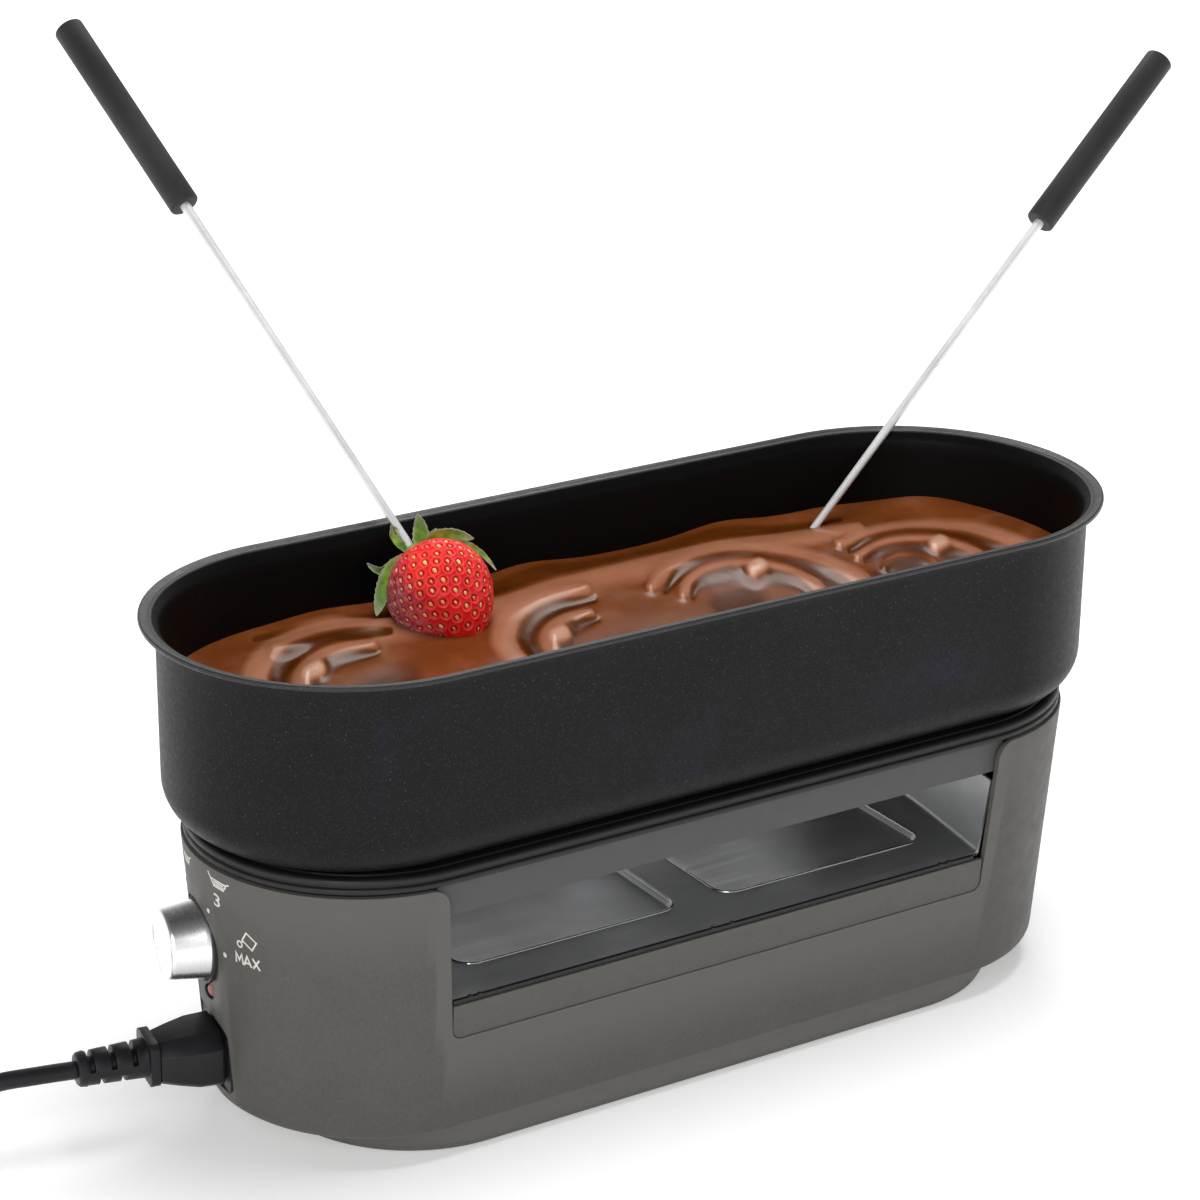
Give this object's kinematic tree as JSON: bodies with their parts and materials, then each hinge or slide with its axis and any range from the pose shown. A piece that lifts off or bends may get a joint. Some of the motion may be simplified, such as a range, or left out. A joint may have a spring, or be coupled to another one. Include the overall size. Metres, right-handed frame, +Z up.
{
  "type": "electric fondue and raclette set",
  "caption": "Long oval fondue pot on an electric base with a through slot for raclette pans, a side dial, a detachable mains lead and fondue forks.",
  "frame": {"origin": "bottom centre of the set's box, measured without the loose cord, on the table", "axes": "+Z up, +X along the pot's long side away from the control end, +Y towards the side the forks lean to"},
  "size_m": [0.7152, 0.3398, 0.3528],
  "materials": {
    "shell_plastic": "matte taupe grey moulding",
    "frame_plastic": "matte neutral grey moulding",
    "black_plastic": "matte black moulding",
    "polished_steel": "polished stainless sheet and rod",
    "satin_aluminium": "satin turned",
    "nonstick_coating": "dark speckled non-stick coating on aluminium",
    "chocolate": "glossy melted chocolate",
    "strawberry_skin": "glossy red skin",
    "strawberry_leaf": "matt green leaf",
    "handle_plastic": "matte black",
    "cord_rubber": "satin black jacket",
    "lens_red": "pinkish red lens",
    "brass": "nickel-free brass",
    "foot_rubber": "matt",
    "insulator": "unglazed insulator"
  },
  "bodies": {
    "base": {"appliance_inlet": "black_plastic", "back_rail": "frame_plastic", "back_sill": "frame_plastic", "base_plate": "frame_plastic", "base_screw_1": "polished_steel", "base_screw_2": "polished_steel", "base_screw_3": "polished_steel", "base_screw_4": "polished_steel", "base_shell": "shell_plastic", "element_bracket_1": "polished_steel", "element_bracket_2": "polished_steel", "element_bracket_3": "polished_steel", "element_terminal_1": "brass", "element_terminal_2": "brass", "foot_1": "foot_rubber", "foot_2": "foot_rubber", "foot_3": "foot_rubber", "foot_4": "foot_rubber", "front_rail": "frame_plastic", "front_sill": "frame_plastic", "heating_element": "polished_steel", "indicator_lens": "lens_red", "inlet_pin_1": "brass", "inlet_pin_2": "brass", "inlet_pin_3": "brass", "knob_bezel": "black_plastic", "lamp_ring": "black_plastic", "neon_lamp": "lens_red", "reflector_tray": "polished_steel", "terminal_block": "insulator", "thermal_fuse": "insulator", "thermostat_body": "insulator", "top_ring": "black_plastic", "wire_earth": "cord_rubber", "wire_live": "cord_rubber", "wire_neutral": "cord_rubber"},
    "knob": {"control_knob": "satin_aluminium", "thermostat_shaft": "brass"},
    "pot": {"pot": "nonstick_coating", "chocolate_fill": "chocolate"},
    "left_fork": {"left_fork_rod": "polished_steel", "left_fork_handle": "handle_plastic", "strawberry": "strawberry_skin", "strawberry_leaves": "strawberry_leaf"},
    "right_fork": {"right_fork_rod": "polished_steel", "right_fork_handle": "handle_plastic"},
    "cord_set": {"connector_body": "cord_rubber", "strain_relief": "cord_rubber", "cord_run": "cord_rubber", "cord_coil": "cord_rubber", "cord_tail": "cord_rubber", "mains_plug": "cord_rubber", "plug_pin_1": "brass", "plug_pin_2": "brass"}
  },
  "joints": [
    {"name": "knob_turn", "type": "hinge", "parent": "base", "child": "knob", "pos_m": [-0.22682, -0.08558, 0.0745], "axis": [0.9863, -0.165, 0], "range_deg": [0, 208]},
    {"name": "pot_lift", "type": "slide", "parent": "base", "child": "pot", "axis": [0, 0, 1], "range_m": [0, 0.12]},
    {"name": "left_fork_lift", "type": "slide", "parent": "pot", "child": "left_fork", "axis": [0, 0, 1], "range_m": [0, 0.08]},
    {"name": "right_fork_draw", "type": "slide", "parent": "pot", "child": "right_fork", "axis": [0.7812, 0.166, 0.6018], "range_m": [0, 0.05]},
    {"name": "connector_pull", "type": "slide", "parent": "base", "child": "cord_set", "axis": [-0.9863, 0.165, 0], "range_m": [0, 0.03]}
  ]
}
